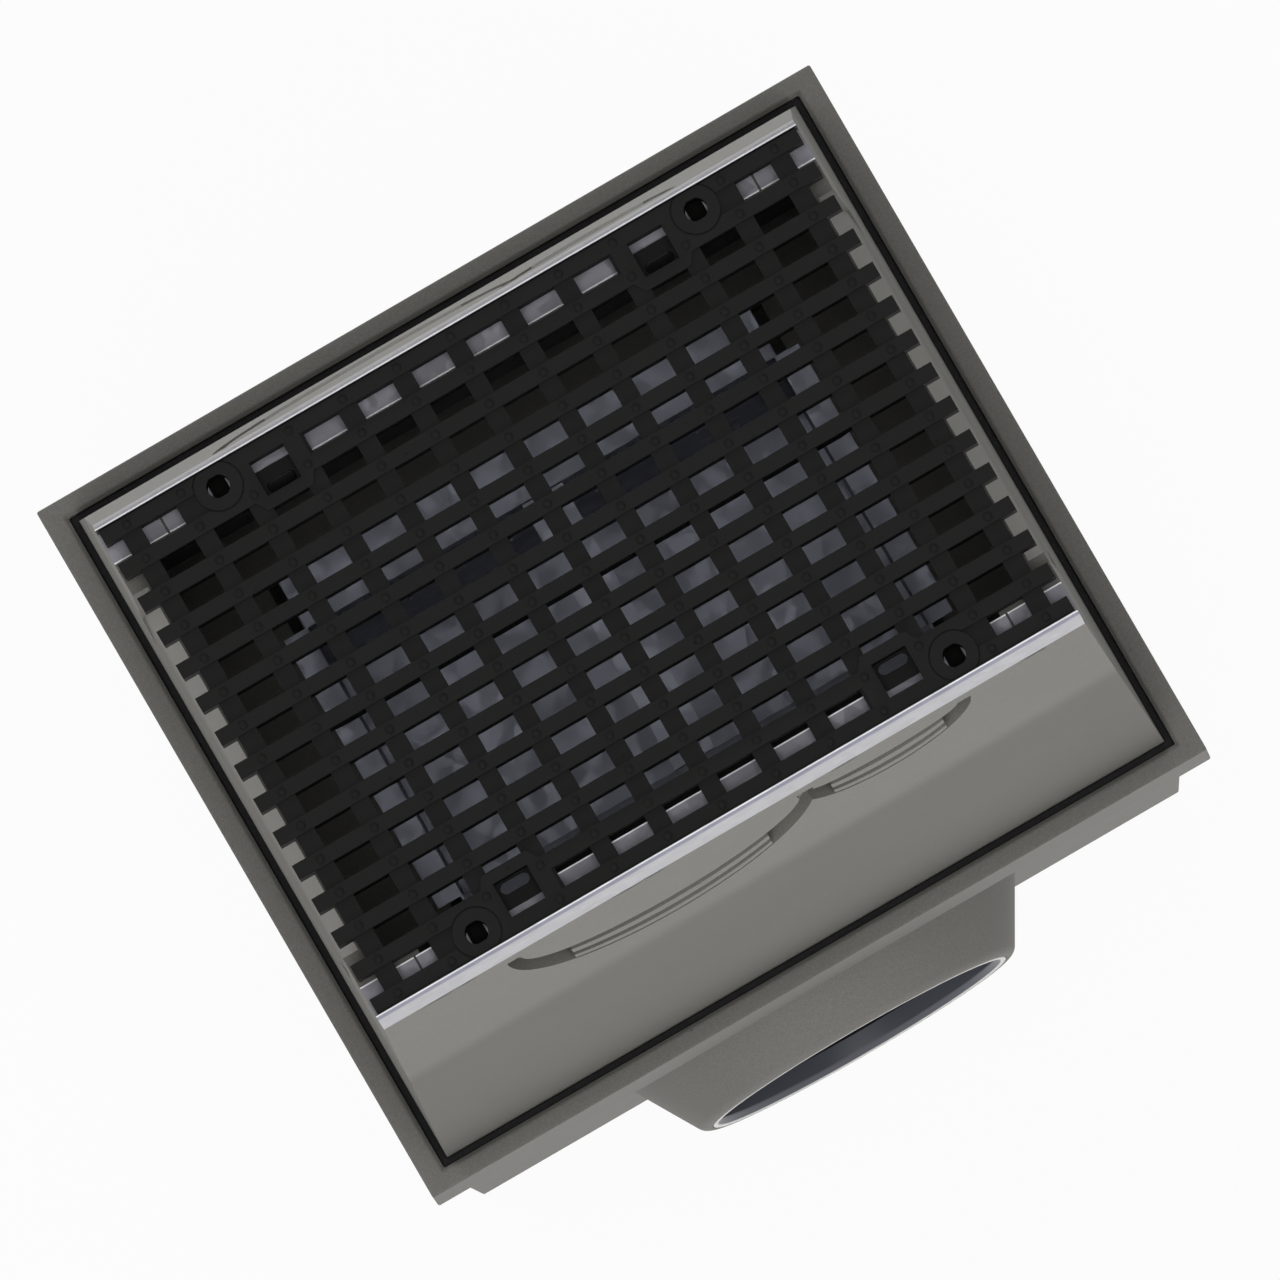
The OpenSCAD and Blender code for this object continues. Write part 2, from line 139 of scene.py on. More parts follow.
# Stage: the floor, the lamp, and how fast the light falls from the horizon and from the front
FLOOR_REACH = 30
FLOOR_DROP = 0.5 * MM
FLOOR_GREY = 0.5
FLOOR_WHITE = 0.95
LAMP_PLACE = (0, -0.2, 3)
LAMP_SPREAD = math.radians(30)
HORIZON_FALL = 1.5
FRONT_FALL = 2.0
CEILING_START = 0.15

# The photograph: its frame in pixels, its scale in pixels a millimetre, where its centre lies
# beside the part's axis at the rim's height, and by how much the view is widened
PHOTO_SIZE = 1280
PHOTO_SCALE = 1.61
CENTRE_RIGHT = 7.29 * MM
CENTRE_DOWN = 10.73 * MM
RIM_HEIGHT = 456 * MM
WIDENING = 1.0066
SENSOR_WIDTH = 36
CLIP_START = 1


# Settings that a user would change


class ConcreteSettings(bpy.types.PropertyGroup):
    lower_colour: bpy.props.FloatVectorProperty(
        name="Lower part colour",
        description="Base colour of the lower part",
        subtype="COLOR",
        size=3,
        min=0,
        max=1,
        default=(0.147, 0.143, 0.132),
    )
    upper_colour: bpy.props.FloatVectorProperty(
        name="Upper part colour",
        description="Base colour of the upper part",
        subtype="COLOR",
        size=3,
        min=0,
        max=1,
        default=(0.165, 0.16, 0.145),
    )
    edge_round: bpy.props.FloatProperty(
        name="Edge rounding",
        description="Radius of the lower part's cast edges; the upper part has half of it",
        subtype="DISTANCE",
        unit="LENGTH",
        default=2.2 * MM,
    )
    grain_size: bpy.props.FloatProperty(
        name="Grain size",
        description="Size of the sand grains in the skin",
        subtype="DISTANCE",
        unit="LENGTH",
        default=0.9 * MM,
    )


class SteelSettings(bpy.types.PropertyGroup):
    rail_colour: bpy.props.FloatVectorProperty(
        name="Rail colour",
        description="Base colour of the galvanised rails",
        subtype="COLOR",
        size=3,
        min=0,
        max=1,
        default=(0.55, 0.55, 0.575),
    )
    bucket_colour: bpy.props.FloatVectorProperty(
        name="Bucket colour",
        description="Base colour of the bucket sheet",
        subtype="COLOR",
        size=3,
        min=0,
        max=1,
        default=(0.3, 0.31, 0.37),
    )
    spangle_size: bpy.props.FloatProperty(
        name="Spangle size",
        description="Size of the zinc crystals",
        subtype="DISTANCE",
        unit="LENGTH",
        default=9 * MM,
    )


class GrateSettings(bpy.types.PropertyGroup):
    colour: bpy.props.FloatVectorProperty(
        name="Iron colour",
        description="Base colour of the dipped iron",
        subtype="COLOR",
        size=3,
        min=0,
        max=1,
        default=(0.0095, 0.0095, 0.0092),
    )
    stud_diameter: bpy.props.FloatProperty(
        name="Stud diameter",
        description="Diameter of the round anti-slip studs",
        subtype="DISTANCE",
        unit="LENGTH",
        default=5.7 * MM,
    )
    stud_height: bpy.props.FloatProperty(
        name="Stud height",
        description="Height of the studs above the bars, which are let down by as much",
        subtype="DISTANCE",
        unit="LENGTH",
        default=1.1 * MM,
    )


class StageSettings(bpy.types.PropertyGroup):
    zenith_level: bpy.props.FloatProperty(
        name="Zenith level",
        description="Light of the dome straight above",
        min=0,
        default=0.15,
    )
    ceiling_level: bpy.props.FloatProperty(
        name="Ceiling level",
        description="What metal reflects from straight above; the horizon is white",
        min=0,
        max=1,
        default=0.35,
    )
    lamp_level: bpy.props.FloatProperty(
        name="Lamp level",
        description="Soft light from above",
        min=0,
        default=0.35,
    )
    horizon_level: bpy.props.FloatProperty(
        name="Horizon level",
        description="Light of the dome near the horizon, in front and behind",
        min=0,
        default=6.6,
    )
    side_share: bpy.props.FloatProperty(
        name="Side share",
        description="Share of the horizon's light that comes from the two sides",
        min=0,
        max=1,
        default=0.05,
    )
    left_gain: bpy.props.FloatProperty(
        name="Left gain",
        description="How much more light comes from the left than from the right",
        min=0,
        max=1,
        default=0.9,
    )
    elevation: bpy.props.FloatProperty(
        name="Camera elevation",
        description="Angle of the view above the horizon",
        subtype="ANGLE",
        default=math.radians(85),
    )
    roll: bpy.props.FloatProperty(
        name="Camera roll",
        description="Turn of the picture about its centre",
        subtype="ANGLE",
        default=math.radians(30.1),
    )
    lens: bpy.props.FloatProperty(
        name="Lens",
        description="Focal length, long enough for a flat view",
        default=1650,
    )


SETTINGS = {
    "basin_concrete": ConcreteSettings,
    "basin_steel": SteelSettings,
    "basin_grate": GrateSettings,
    "basin_stage": StageSettings,
}


# Node helpers


def node(tree, kind, x=0, y=0, **values):
    """A new node of a tree, with its own settings by name."""
    made = tree.nodes.new(kind)
    made.location = (x, y)
    for name, value in values.items():
        setattr(made, name, value)
    return made


def link(tree, source, target):
    """Joins an output to an input."""
    tree.links.new(source, target)


def feed(tree, value, socket):
    """Joins an output to an input, or sets the input to a plain number or colour."""
    if isinstance(value, bpy.types.NodeSocket):
        link(tree, value, socket)
    elif isinstance(value, tuple):
        socket.default_value = (*value, 1)
    else:
        socket.default_value = value


def maths(tree, operation, first, second=None, x=0, y=0, third=None, clamp=False):
    """A Math node on sockets or plain numbers; returns its output."""
    made = node(tree, "ShaderNodeMath", x, y, operation=operation, use_clamp=clamp)
    for value, socket in zip((first, second, third), made.inputs):
        if value is not None:
            feed(tree, value, socket)
    return made.outputs[0]


def mix_colours(tree, amount, first, second, x=0, y=0):
    """A colour Mix node on sockets or plain colours; returns its colour output."""
    made = node(tree, "ShaderNodeMix", x, y, data_type="RGBA")
    feed(tree, amount, made.inputs[0])
    feed(tree, first, made.inputs[6])
    feed(tree, second, made.inputs[7])
    return made.outputs[2]


def scaled(tree, colour, factor, x=0, y=0):
    """A colour's socket times a value's socket."""
    made = node(tree, "ShaderNodeVectorMath", x, y, operation="SCALE")
    link(tree, colour, made.inputs[0])
    link(tree, factor, made.inputs["Scale"])
    return made.outputs[0]


def step(tree, value, low, high, x=0, y=0, low_tone=0.0, high_tone=1.0, kind="SMOOTHSTEP"):
    """A soft step from one tone to another between two values of a socket."""
    made = node(tree, "ShaderNodeMapRange", x, y, interpolation_type=kind)
    for title, number in (
        ("From Min", low),
        ("From Max", high),
        ("To Min", low_tone),
        ("To Max", high_tone),
    ):
        made.inputs[title].default_value = number
    link(tree, value, made.inputs["Value"])
    return made.outputs["Result"]


def coordinates(tree, kind, x, y):
    """The three parts of a texture coordinate output, such as Object or Normal."""
    place = node(tree, "ShaderNodeTexCoord", x, y)
    split = node(tree, "ShaderNodeSeparateXYZ", x + 200, y)
    link(tree, place.outputs[kind], split.inputs[0])
    return split.outputs


def shades(colour, factor):
    """A plain colour times a plain factor."""
    return tuple(channel * factor for channel in colour)


# Effects that several materials share


def new_group(name, inputs, outputs):
    """A shader node group with named float sockets: inputs are (name, default), outputs names."""
    tree = bpy.data.node_groups.new(name, "ShaderNodeTree")
    for title, default in inputs:
        socket = tree.interface.new_socket(title, in_out="INPUT", socket_type="NodeSocketFloat")
        socket.default_value = default
    for title in outputs:
        tree.interface.new_socket(title, in_out="OUTPUT", socket_type="NodeSocketFloat")
    return tree, node(tree, "NodeGroupInput", -900), node(tree, "NodeGroupOutput", 600)


def use_group(tree, group, x=0, y=0, **values):
    """A group placed in a material, with its own input values."""
    made = node(tree, "ShaderNodeGroup", x, y, node_tree=group)
    for title, value in values.items():
        made.inputs[title.replace("_", " ")].default_value = value
    return made


def grain_group():
    """Fine grain: a value round 0.5 and a height, from two sizes of noise."""
    tree, start, end = new_group(
        "fine grain",
        [("Size", 0.001), ("Cloud Size", 0.15)],
        ["Grain", "Clouds", "Height"],
    )
    place = node(tree, "ShaderNodeTexCoord", -900, -300)
    per_size = maths(tree, "DIVIDE", 1.0, start.outputs["Size"], -700, 100)
    per_cloud = maths(tree, "DIVIDE", 1.0, start.outputs["Cloud Size"], -700, -100)
    fine = node(tree, "ShaderNodeTexNoise", -450, 200)
    fine.inputs["Detail"].default_value = 2
    clouds = node(tree, "ShaderNodeTexNoise", -450, -50)
    clouds.inputs["Detail"].default_value = 4
    clouds.inputs["Roughness"].default_value = 0.6
    for texture, scale in ((fine, per_size), (clouds, per_cloud)):
        link(tree, place.outputs["Object"], texture.inputs["Vector"])
        link(tree, scale, texture.inputs["Scale"])
    link(tree, fine.outputs["Fac"], end.inputs["Grain"])
    link(tree, clouds.outputs["Fac"], end.inputs["Clouds"])
    link(tree, fine.outputs["Fac"], end.inputs["Height"])
    return tree


def pore_group():
    """Round pores and pits: a mask that is 1 in a pore, and a height that drops there."""
    tree, start, end = new_group(
        "cast pores",
        [("Spacing", 0.02), ("Share", 0.1)],
        ["Mask", "Height"],
    )
    place = node(tree, "ShaderNodeTexCoord", -900, -300)
    scale = maths(tree, "DIVIDE", 1.0, start.outputs["Spacing"], -700, 100)
    cells = node(tree, "ShaderNodeTexVoronoi", -450, 100)
    cells.inputs["Randomness"].default_value = 1
    link(tree, place.outputs["Object"], cells.inputs["Vector"])
    link(tree, scale, cells.inputs["Scale"])
    spread = node(tree, "ShaderNodeSeparateColor", -250, -100)
    link(tree, cells.outputs["Color"], spread.inputs[0])
    radius = maths(tree, "MULTIPLY", spread.outputs[0], start.outputs["Share"], -100, -100)
    inside = maths(tree, "SUBTRACT", radius, cells.outputs["Distance"], 60, 100)
    mask = maths(tree, "MULTIPLY", inside, PORE_CONTRAST, 220, 100, clamp=True)
    chosen = maths(tree, "GREATER_THAN", spread.outputs[1], PORE_CELLS_LEFT_OUT, 60, -250)
    final = maths(tree, "MULTIPLY", mask, chosen, 380, 100)
    drop = maths(tree, "SUBTRACT", 1.0, final, 380, -100)
    link(tree, final, end.inputs["Mask"])
    link(tree, drop, end.inputs["Height"])
    return tree


def spangle_group():
    """Zinc spangle: a value that changes from crystal to crystal, with soft borders."""
    tree, start, end = new_group("zinc spangle", [("Size", 0.01)], ["Value", "Height"])
    place = node(tree, "ShaderNodeTexCoord", -900, -300)
    scale = maths(tree, "DIVIDE", 1.0, start.outputs["Size"], -700, 100)
    warp = node(tree, "ShaderNodeTexNoise", -700, -150)
    warp.inputs["Scale"].default_value = 60
    shift = node(tree, "ShaderNodeVectorMath", -550, -150, operation="SCALE")
    shift.inputs["Scale"].default_value = 6 * MM
    moved = node(tree, "ShaderNodeVectorMath", -400, -150, operation="ADD")
    cells = node(tree, "ShaderNodeTexVoronoi", -200, 100, feature="SMOOTH_F1")
    cells.inputs["Smoothness"].default_value = 0.25
    link(tree, place.outputs["Object"], warp.inputs["Vector"])
    link(tree, warp.outputs["Color"], shift.inputs[0])
    link(tree, place.outputs["Object"], moved.inputs[0])
    link(tree, shift.outputs[0], moved.inputs[1])
    link(tree, moved.outputs[0], cells.inputs["Vector"])
    link(tree, scale, cells.inputs["Scale"])
    spread = node(tree, "ShaderNodeSeparateColor", 50, 0)
    link(tree, cells.outputs["Color"], spread.inputs[0])
    link(tree, spread.outputs[0], end.inputs["Value"])
    link(tree, spread.outputs[1], end.inputs["Height"])
    return tree


# The built groups, by a short name
GROUPS = {}


def build_groups():
    """Builds each shared effect once, before the materials use it."""
    GROUPS["grain"] = grain_group()
    GROUPS["pores"] = pore_group()
    GROUPS["spangle"] = spangle_group()


# Materials


def new_material(name, roughness, metallic=0.0, specular=0.5):
    """A material with a Principled shader whose plain values are set on its own sockets."""
    material = bpy.data.materials.new(name)
    material.use_nodes = True
    shader = material.node_tree.nodes["Principled BSDF"]
    shader.inputs["Roughness"].default_value = roughness
    shader.inputs["Metallic"].default_value = metallic
    shader.inputs["Specular IOR Level"].default_value = specular
    return material, material.node_tree, shader


def mottle(tree, value, colour, darkest, palest, x, y):
    """A colour that wanders between two shades of itself with a value."""
    return mix_colours(tree, value, shades(colour, darkest), shades(colour, palest), x, y)


def vary_roughness(tree, shader, value, spread, base):
    """Roughness that rises from a base with a value."""
    rough = maths(tree, "MULTIPLY_ADD", value, spread, -400, -50, third=base)
    link(tree, rough, shader.inputs["Roughness"])


def add_bump(tree, shader, *heights):
    """Bump nodes in a row, one for each (height socket, distance, strength)."""
    normal = None
    for place, (height, distance, strength) in enumerate(heights):
        bump = node(tree, "ShaderNodeBump", -200 + 180 * place, -400)
        bump.inputs["Distance"].default_value = distance
        bump.inputs["Strength"].default_value = strength
        link(tree, height, bump.inputs["Height"])
        if normal is not None:
            link(tree, normal, bump.inputs["Normal"])
        normal = bump.outputs["Normal"]
    link(tree, normal, shader.inputs["Normal"])


def painted_shade_mask(tree, x, y, high):
    """1 high up at the threaded holes and on the front curb, which the photo shows dark: a mask
    for painted shade there.
    """
    across = maths(tree, "ABSOLUTE", x, None, -1150, 1200)
    along = maths(tree, "ABSOLUTE", y, None, -1150, 1350)
    from_x = maths(tree, "SUBTRACT", across, BOLT_X, -1000, 1200)
    from_y = maths(tree, "SUBTRACT", along, BOLT_Y, -1000, 1350)
    from_x2 = maths(tree, "MULTIPLY", from_x, from_x, -850, 1200)
    from_y2 = maths(tree, "MULTIPLY", from_y, from_y, -850, 1350)
    from_2 = maths(tree, "ADD", from_x2, from_y2, -700, 1200)
    hole = maths(tree, "LESS_THAN", from_2, BOLT_ROOM**2, -550, 1200)
    front = maths(tree, "COMPARE", y, -0.5 * CURB_Y, -700, 1350, third=0.5 * CURB_Y)
    between_ends = maths(tree, "LESS_THAN", across, CURB_X, -700, 1500)
    curb = maths(tree, "MULTIPLY", between_ends, front, -550, 1350)
    either = maths(tree, "MAXIMUM", hole, curb, -400, 1200)
    return maths(tree, "MULTIPLY", either, high, -250, 1200)


def upper_tones(tree, colour):
    """The upper concrete's painted light and shade: under and over the bend, on the end walls, on
    top, and where the grate hides.

    Returns the toned colour and the share of gloss that is left.
    """
    x, y, z = coordinates(tree, "Object", -1500, 900)
    normal_x, _, normal_z = coordinates(tree, "Normal", -1500, 600)
    facing_end = maths(tree, "ABSOLUTE", normal_x, None, -1150, 600)
    # Painted shade under the bend and painted light over it, and painted light on the end walls
    bend = step(tree, z, BEND_LOW, BEND_HIGH, -1000, 900, PAINTED_SHADE_UNDER_BEND, PAINTED_LIGHT_OVER_BEND)
    ends = step(tree, facing_end, *END_FACING, -1000, 600, 1.0, PAINTED_LIGHT_ON_ENDS)
    high = maths(tree, "GREATER_THAN", z, CURB_LOW, -400, 1350)
    # Painted shade in the threaded holes and on the front curb
    shaded_places = painted_shade_mask(tree, x, y, high)
    dark = maths(tree, "MULTIPLY_ADD", shaded_places, PAINTED_SHADE_TONE - 1, -100, 1200, third=1)
    # Painted shade on the upward faces high up
    upward = step(tree, normal_z, *UP_FACING, -850, 450)
    crown = maths(tree, "MULTIPLY", upward, high, -400, 450)
    crown_shade = maths(tree, "MULTIPLY_ADD", crown, PAINTED_SHADE_ON_CROWN - 1, -250, 450, third=1)
    faces = maths(tree, "MULTIPLY", ends, crown_shade, -100, 600)
    walls = maths(tree, "MULTIPLY", bend, faces, -250, 900)
    total = maths(tree, "MULTIPLY", walls, dark, 50, 900)
    matt = step(tree, facing_end, *END_FACING, -1000, 450, 1.0, END_GLOSS)
    gloss = maths(tree, "MULTIPLY", dark, matt, 50, 600)
    return scaled(tree, colour, total, 200, 700), gloss


def concrete_material(name, colour, grain_size, upper=False):
    """Cast concrete with sand grain, clouds and pores darkened as painted shade; the upper part
    has painted light and shade of its own.
    """
    material, tree, shader = new_material(name, 0.62, specular=CONCRETE_GLOSS)
    grain = use_group(tree, GROUPS["grain"], -900, 200, Size=grain_size, Cloud_Size=0.12)
    pores = use_group(tree, GROUPS["pores"], -900, -200, Spacing=17 * MM, Share=0.09)
    clouded = mottle(tree, grain.outputs["Clouds"], colour, 0.92, 1.08, -600, 300)
    speckle = maths(tree, "SUBTRACT", grain.outputs["Grain"], 0.5, -700, 60)
    strength = maths(tree, "MULTIPLY_ADD", speckle, GRAIN_STRENGTH, -600, 60, third=1.0)
    skin = scaled(tree, clouded, strength, -400, 200)
    if upper:
        skin, gloss = upper_tones(tree, skin)
        level = maths(tree, "MULTIPLY", gloss, CONCRETE_GLOSS, -100, 400)
        link(tree, level, shader.inputs["Specular IOR Level"])
    # Painted shade in the pores
    pore_shade_colour = shades(colour, PAINTED_PORE_SHADE)
    pitted = mix_colours(tree, pores.outputs["Mask"], skin, pore_shade_colour, -100, 200)
    link(tree, pitted, shader.inputs["Base Color"])
    vary_roughness(tree, shader, grain.outputs["Grain"], spread=0.2, base=0.5)
    add_bump(
        tree,
        shader,
        (grain.outputs["Height"], 0.25 * MM, 0.35),
        (pores.outputs["Height"], 0.5 * MM, 0.4),
    )
    return material


def rail_tones(tree, colour, seat_in):
    """The rail's tones: painted highlights on the seat's inner edge and the upstand's edge,
    painted shade on the seat, a painted shadow in the gap, a darker crown, a pale apron, and
    painted shade on the back rail's crown and apron.
    """
    place_y = coordinates(tree, "Object", -1500, 900)[1]
    along = maths(tree, "ABSOLUTE", place_y, None, -1150, 900)
    # Bands across the rail: painted highlight, painted shade on the seat, painted shadow in the
    # gap, painted highlight, crown, apron
    tone = RAIL_HIGHLIGHT_TONE
    for place, (start, after) in enumerate(
        (
            (seat_in + SEAT_HIGHLIGHT_WIDTH, RAIL_SEAT_SHADE_TONE),
            (UPSTAND_IN, RAIL_GAP_SHADOW_TONE),
            (EDGE_HIGHLIGHT_START, RAIL_HIGHLIGHT_TONE),
            (EDGE_HIGHLIGHT_END, RAIL_CROWN_TONE),
            (APRON_START, RAIL_APRON_TONE),
        )
    ):
        left = -1000 + 200 * place
        rise = step(tree, along, start - RAIL_BLUR, start + RAIL_BLUR, left, 900)
        tone = mix_colours(tree, rise, tone, after, left, 700)
    # Painted shade on the back rail's crown and apron
    back = step(tree, place_y, EDGE_HIGHLIGHT_END - RAIL_BLUR, EDGE_HIGHLIGHT_END + RAIL_BLUR, 0, 900)
    tone = mix_colours(tree, back, tone, RAIL_BACK_SHADE_TONE, 0, 1100)
    toned = node(tree, "ShaderNodeVectorMath", 200, 700, operation="MULTIPLY")
    link(tree, colour, toned.inputs[0])
    link(tree, tone, toned.inputs[1])
    return toned.outputs[0]


def zinc_material(name, colour, spangle_size, roughness, seat_in=None):
    """Hot dipped zinc with spangle; a rail also has painted highlights and painted shade across
    its width.
    """
    material, tree, shader = new_material(name, roughness, metallic=ZINC_METALLIC)
    spangle = use_group(tree, GROUPS["spangle"], -900, 200, Size=spangle_size)
    grain = use_group(tree, GROUPS["grain"], -900, -200, Size=1.5 * MM, Cloud_Size=0.08)
    tone = mottle(tree, spangle.outputs["Value"], colour, 0.92, 1.08, -600, 300)
    cloudy = mix_colours(tree, grain.outputs["Clouds"], shades(colour, 0.85), tone, -400, 300)
    if seat_in is not None:
        cloudy = rail_tones(tree, cloudy, seat_in)
    link(tree, cloudy, shader.inputs["Base Color"])
    base = roughness - 0.5 * ZINC_SPREAD
    vary_roughness(tree, shader, spangle.outputs["Height"], spread=ZINC_SPREAD, base=base)
    add_bump(tree, shader, (grain.outputs["Height"], 0.08 * MM, 0.3))
    return material


def iron_material(name, colour):
    """Cast iron dipped in black, with a rough skin and small pits darkened as painted shade."""
    material, tree, shader = new_material(name, 0.5, specular=IRON_GLOSS)
    grain = use_group(tree, GROUPS["grain"], -900, 200, Size=1.1 * MM, Cloud_Size=0.06)
    pores = use_group(tree, GROUPS["pores"], -900, -200, Spacing=12 * MM, Share=0.12)
    clouded = mottle(tree, grain.outputs["Clouds"], colour, 0.75, 1.3, -600, 300)
    # Painted shade in the pits
    pit_shade_colour = shades(colour, 0.5)
    pitted = mix_colours(tree, pores.outputs["Mask"], clouded, pit_shade_colour, -300, 300)
    link(tree, pitted, shader.inputs["Base Color"])
    vary_roughness(tree, shader, grain.outputs["Clouds"], spread=0.25, base=0.45)
    add_bump(
        tree,
        shader,
        (grain.outputs["Height"], 0.2 * MM, 0.45),
        (pores.outputs["Height"], 0.3 * MM, 0.4),
    )
    return material


def rubber_material():
    """Dull black rubber with a dusty grain."""
    material, tree, shader = new_material("black rubber", 0.75, specular=RUBBER_GLOSS)
    grain = use_group(tree, GROUPS["grain"], -900, 200, Size=1.6 * MM, Cloud_Size=0.03)
    tone = mottle(tree, grain.outputs["Grain"], RUBBER_COLOUR, 0.5, 2.4, -400, 200)
    link(tree, tone, shader.inputs["Base Color"])
    vary_roughness(tree, shader, grain.outputs["Clouds"], spread=0.2, base=0.65)
    add_bump(tree, shader, (grain.outputs["Height"], 0.6 * MM, 0.6))
    return material


def plastic_material(mouth):
    """Light grey plastic at the mouth's rim, darker and bluish inside the bore, where the darkness
    is painted shade.
    """
    material, tree, shader = new_material("socket plastic", 0.35, specular=0.5)
    grain = use_group(tree, GROUPS["grain"], -900, 200, Size=0.8 * MM, Cloud_Size=0.05)
    place_y = coordinates(tree, "Object", -1200, 500)[1]
    # Painted shade inside the bore
    inside = step(tree, place_y, mouth + RIM_END, mouth + BORE_START, -800, 500, kind="LINEAR")
    tone = mix_colours(tree, inside, PLASTIC_PALE, PLASTIC_BORE_SHADE, -600, 400)
    strength = maths(tree, "MULTIPLY_ADD", grain.outputs["Clouds"], 0.12, -600, 200, third=0.94)
    link(tree, scaled(tree, tone, strength, -400, 300), shader.inputs["Base Color"])
    vary_roughness(tree, shader, grain.outputs["Grain"], spread=0.12, base=0.3)
    add_bump(tree, shader, (grain.outputs["Height"], 0.05 * MM, 0.3))
    return material


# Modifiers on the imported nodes


def new_mesh_tree(name, right):
    """A geometry node tree with its group input and output."""
    tree = bpy.data.node_groups.new(name, "GeometryNodeTree")
    for way in ("INPUT", "OUTPUT"):
        tree.interface.new_socket("Geometry", in_out=way, socket_type="NodeSocketGeometry")
    return tree, node(tree, "NodeGroupInput", -600), node(tree, "NodeGroupOutput", right)


def more_than(tree, value, limit, x, y):
    """1 where a float socket is over a plain limit."""
    made = node(tree, "FunctionNodeCompare", x, y, data_type="FLOAT", operation="GREATER_THAN")
    made.inputs["B"].default_value = limit
    link(tree, value, made.inputs["A"])
    return made.outputs["Result"]


def tidy_tree(name):
    """Geometry nodes that weld a mesh, drop its stored normals and shade it smooth by angle."""
    tree, start, end = new_mesh_tree(name, 600)
    drop = node(tree, "GeometryNodeRemoveAttribute", -400)
    drop.inputs["Name"].default_value = "custom_normal"
    weld = node(tree, "GeometryNodeMergeByDistance", -200)
    weld.inputs["Distance"].default_value = WELD_GAP
    smooth = node(tree, "GeometryNodeSetShadeSmooth", 0, domain="FACE")
    angle = node(tree, "GeometryNodeInputMeshEdgeAngle", 0, -200)
    sharp = more_than(tree, angle.outputs["Unsigned Angle"], SMOOTH_ANGLE, 150, -200)
    crease = node(tree, "GeometryNodeSetShadeSmooth", 300, domain="EDGE")
    crease.inputs["Shade Smooth"].default_value = False
    link(tree, start.outputs[0], drop.inputs["Geometry"])
    link(tree, drop.outputs["Geometry"], weld.inputs["Geometry"])
    link(tree, weld.outputs["Geometry"], smooth.inputs["Geometry"])
    link(tree, smooth.outputs["Geometry"], crease.inputs["Geometry"])
    link(tree, sharp, crease.inputs["Selection"])
    link(tree, crease.outputs["Geometry"], end.inputs[0])
    return tree


def soften(name, width):
    """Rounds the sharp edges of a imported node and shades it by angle, with modifiers only."""
    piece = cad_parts[name]
    tree = bpy.data.node_groups.get("tidy mesh") or tidy_tree("tidy mesh")
    piece.modifiers.new("weld", "NODES").node_group = tree
    bevel = piece.modifiers.new("edge", "BEVEL")
    bevel.width = width
    bevel.segments = BEVEL_SEGMENTS
    bevel.limit_method = "ANGLE"
    bevel.angle_limit = BEVEL_ANGLE
    bevel.miter_outer = "MITER_ARC"
    bevel.use_clamp_overlap = True
    piece.modifiers.new("shade", "NODES").node_group = tree


def lower_face(name, top, drop):
    """Lets a node's highest face down, with geometry nodes, to make room for studs."""
    tree, start, end = new_mesh_tree("walking face", 400)
    place = node(tree, "GeometryNodeInputPosition", -600, -200)
    split = node(tree, "ShaderNodeSeparateXYZ", -400, -200)
    link(tree, place.outputs[0], split.inputs[0])
    high = more_than(tree, split.outputs[2], top - 0.5 * drop, -200, -200)
    move = node(tree, "GeometryNodeSetPosition", 100)
    move.inputs["Offset"].default_value = (0, 0, -drop)
    link(tree, high, move.inputs["Selection"])
    link(tree, start.outputs[0], move.inputs["Geometry"])
    link(tree, move.outputs["Geometry"], end.inputs[0])
    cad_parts[name].modifiers.new("walking face", "NODES").node_group = tree


def dress(name, material):
    """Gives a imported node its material."""
    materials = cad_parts[name].data.materials
    materials.clear()
    materials.append(material)


# Pieces


def new_piece(name, mesh, material):
    """A new object of the part, riding on the root body."""
    piece = bpy.data.objects.new(name, mesh)
    bpy.context.scene.collection.objects.link(piece)
    mesh.materials.append(material)
    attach(piece, ROOT)
    return piece


def add_stud(mesh, centre, radius, height):
    """One low round stud: a skirt let into the iron, two rings and a crown."""
    x, y, z = centre
    rings = []
    for share, level in STUD_RINGS:
        ring = []
        for side in range(STUD_SIDES):
            turn = 2 * math.pi * side / STUD_SIDES
            corner = (x + share * radius * math.cos(turn), y + share * radius * math.sin(turn))
            ring.append(mesh.verts.new((*corner, z + level * height)))
        rings.append(ring)
    crown = mesh.verts.new((x, y, z + height))
    for side in range(STUD_SIDES):
        after = (side + 1) % STUD_SIDES
        for lower, upper in zip(rings, rings[1:]):
            mesh.faces.new((lower[side], lower[after], upper[after], upper[side]))
        mesh.faces.new((rings[-1][side], rings[-1][after], crown))


def stud_mesh(name, diameter, height):
    """Studs on the crossings of the bars and cross bars, standing up to the walking face."""
    mesh = bmesh.new()
    outer_bar, outer_cross = (BARS - 1) / 2, (CROSS_BARS - 1) / 2
    for bar in range(BARS):
        for cross in range(CROSS_BARS):
            from_bar, from_cross = bar - outer_bar, cross - outer_cross
            if abs(from_bar) == outer_bar and abs(from_cross) == BARE_CROSS:
                continue
            foot = (from_cross * CROSS_PITCH, from_bar * BAR_PITCH, WALKING_FACE - height)
            add_stud(mesh, foot, 0.5 * diameter, height)
    data = bpy.data.meshes.new(name)
    mesh.to_mesh(data)
    mesh.free()
    data.polygons.foreach_set("use_smooth", [True] * len(data.polygons))
    return data


class BasinOperator(bpy.types.Operator):
    """Shared base of the operators."""

    bl_options = {"REGISTER", "UNDO"}


